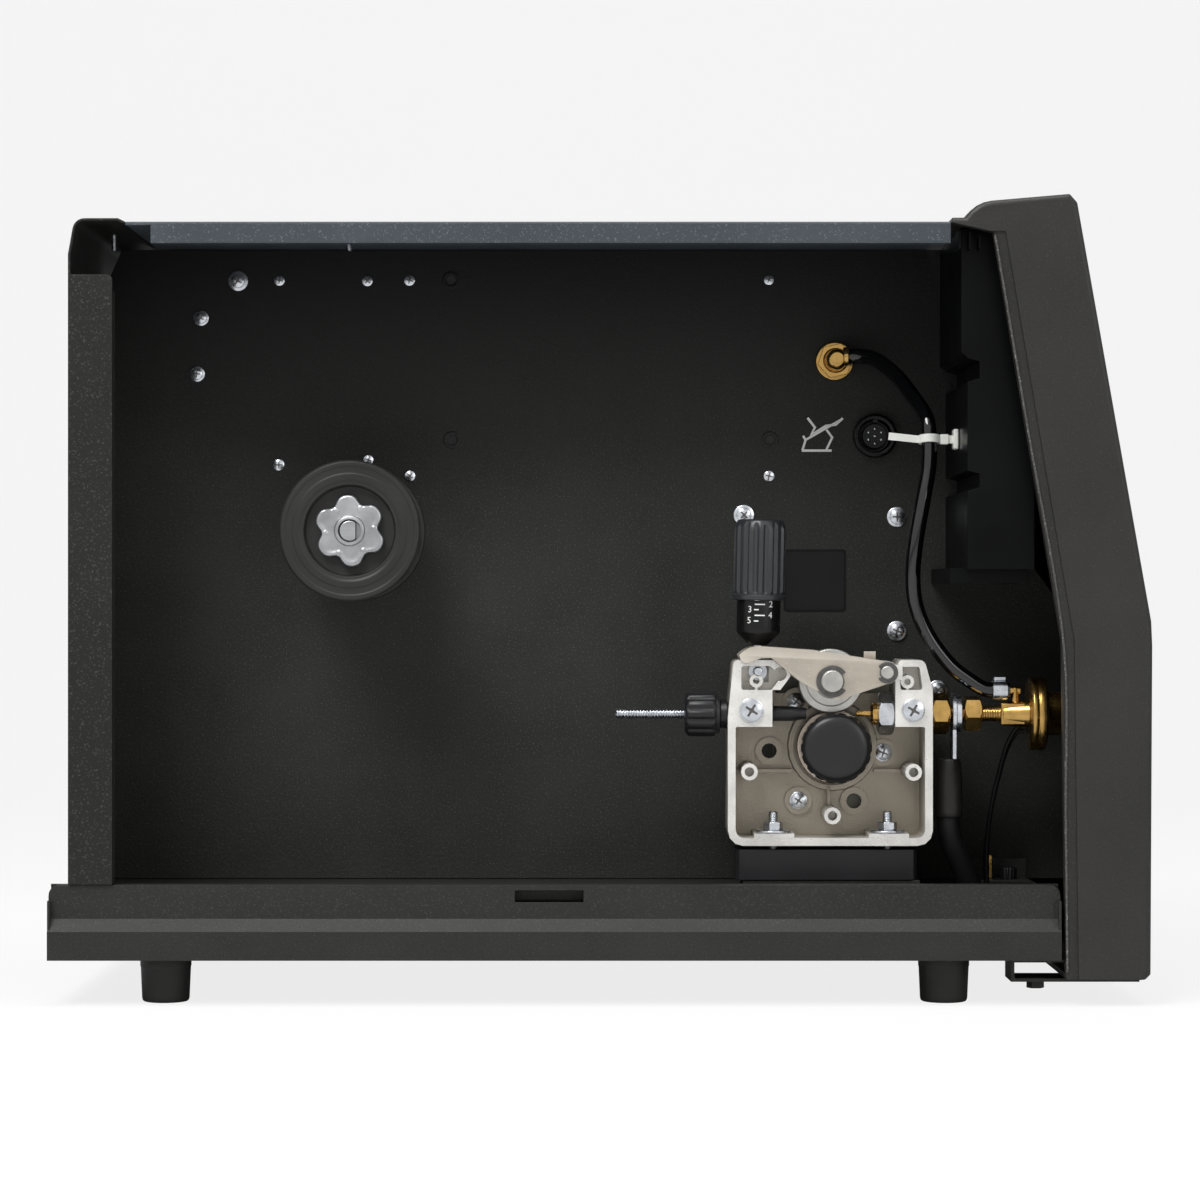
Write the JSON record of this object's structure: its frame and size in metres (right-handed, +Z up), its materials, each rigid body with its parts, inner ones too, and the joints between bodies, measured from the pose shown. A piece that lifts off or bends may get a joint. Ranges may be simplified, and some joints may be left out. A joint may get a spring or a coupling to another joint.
{
  "type": "wire feeder",
  "caption": "Side-open welding wire feeder: sheet cabinet on rubber feet, spool hub, two-roll wire drive with tension handle, gas hose, and torch connector in a moulded front.",
  "frame": {"origin": "floor under the middle of the machine's bounding box", "axes": "+X towards the front bezel and torch connector, -Y towards the open side, +Z up"},
  "size_m": [0.646, 0.3, 0.472],
  "materials": {
    "powder_coat": "textured",
    "black_plastic": "satin",
    "cast_aluminium": "cast",
    "zinc_steel": "zinc plated",
    "bronze_steel": "yellow zinc",
    "brass": "turned",
    "rubber": "satin",
    "white_nylon": "satin",
    "circuit_board": "satin"
  },
  "bodies": {
    "cabinet": {"base_pan": "powder_coat", "foot_front_rear": "rubber", "foot_front_nose": "rubber", "foot_back_rear": "rubber", "foot_back_nose": "rubber", "rear_panel": "powder_coat", "cover": "powder_coat", "partition": "powder_coat", "front_bezel": "black_plastic", "control_housing": "black_plastic", "bezel_bracket": "powder_coat", "spool_spindle": "zinc_steel", "drive_frame": "cast_aluminium", "mount_stud_left": "zinc_steel", "mount_stud_right": "zinc_steel", "drive_base": "black_plastic", "drive_base_plate": "powder_coat", "gearbox": "cast_aluminium", "motor": "powder_coat", "arm_pin": "zinc_steel", "handle_pin": "zinc_steel", "inlet_guide": "black_plastic", "inlet_nut": "black_plastic", "inlet_liner": "zinc_steel", "outlet_guide": "brass", "outlet_locknut": "zinc_steel", "adapter_nut_inner": "brass", "cable_lug": "zinc_steel", "adapter_nut_outer": "brass", "torch_adapter": "brass", "torch_flange": "black_plastic", "gas_port": "brass", "gas_hose": "rubber", "torch_clamp": "zinc_steel", "remote_socket": "black_plastic", "cable_tie": "white_nylon", "weld_cable": "rubber", "heat_shrink": "rubber", "trigger_wire_a": "rubber", "trigger_wire_b": "rubber", "gas_valve": "brass", "control_board": "circuit_board"},
    "spool_hub": {"spool_mandrel": "black_plastic", "spool_cap": "black_plastic", "brake_spring": "zinc_steel"},
    "hub_washer": {"brake_washer": "bronze_steel"},
    "hub_knob": {"star_knob": "zinc_steel"},
    "feed_roller": {"drive_roller": "zinc_steel", "roller_cap": "black_plastic", "drive_shaft": "zinc_steel"},
    "arm": {"pressure_arm": "bronze_steel", "pressure_axle": "zinc_steel"},
    "idler": {"pressure_roller": "zinc_steel"},
    "handle": {"tension_rod": "zinc_steel", "tension_spring": "zinc_steel"},
    "plunger": {"tension_plunger": "black_plastic"},
    "handle_washer": {"tension_washer": "zinc_steel"},
    "grip": {"tension_cap": "black_plastic"},
    "speed_control": {"speed_knob": "black_plastic"},
    "voltage_control": {"voltage_knob": "black_plastic"}
  },
  "joints": [
    {"name": "spool_spin", "type": "hinge", "parent": "cabinet", "child": "spool_hub", "pos_m": [-0.1508, 0, 0.2772], "axis": [0, 1, 0], "continuous": true},
    {"name": "hub_knob_turn", "type": "hinge", "parent": "hub_washer", "child": "hub_knob", "pos_m": [-0.1508, 0, 0.2772], "axis": [0, -1, 0], "range_deg": [0, 720]},
    {"name": "hub_washer_slide", "type": "slide", "parent": "cabinet", "child": "hub_washer", "axis": [0, -1, 0], "range_m": [0, 0.00303]},
    {"name": "feed_spin", "type": "hinge", "parent": "cabinet", "child": "feed_roller", "pos_m": [0.1397, 0, 0.1472], "axis": [0, 1, 0], "continuous": true},
    {"name": "arm_lift", "type": "hinge", "parent": "cabinet", "child": "arm", "pos_m": [0.1695, 0, 0.1927], "axis": [0, 1, 0], "range_deg": [0, 7.5]},
    {"name": "idler_spin", "type": "hinge", "parent": "arm", "child": "idler", "pos_m": [0.1367, 0, 0.18739], "axis": [0, 1, 0], "continuous": true},
    {"name": "handle_swing", "type": "hinge", "parent": "cabinet", "child": "handle", "pos_m": [0.0928, 0, 0.1932], "axis": [0, -1, 0], "range_deg": [0, 65]},
    {"name": "plunger_slide", "type": "slide", "parent": "handle", "child": "plunger", "axis": [0.0209, 0, 0.9998], "range_m": [0, 0.0106], "deforming": ["tension_spring"]},
    {"name": "grip_turn", "type": "hinge", "parent": "handle_washer", "child": "grip", "pos_m": [0.0928, -0.075, 0.1932], "axis": [-0.0209, 0, -0.9998], "range_deg": [-720, 1440]},
    {"name": "grip_travel", "type": "slide", "parent": "handle", "child": "handle_washer", "axis": [-0.0209, 0, -0.9998], "range_m": [-0.0051, 0.0101]},
    {"name": "speed_turn", "type": "hinge", "parent": "cabinet", "child": "speed_control", "pos_m": [0.28677, 0, 0.3151], "axis": [0.9853, 0, 0.1708], "range_deg": [-135, 135]},
    {"name": "voltage_turn", "type": "hinge", "parent": "cabinet", "child": "voltage_control", "pos_m": [0.29531, 0, 0.26584], "axis": [0.9853, 0, 0.1708], "range_deg": [-135, 135]}
  ],
  "couplings": [
    {"joint": "idler_spin", "follows": "feed_spin", "ratio": -1.0309},
    {"joint": "plunger_slide", "follows": "arm_lift", "m_per_rad": 0.0803},
    {"joint": "grip_travel", "follows": "grip_turn", "m_per_rad": 0.00039789},
    {"joint": "hub_washer_slide", "follows": "hub_knob_turn", "m_per_rad": 0.00023873}
  ]
}
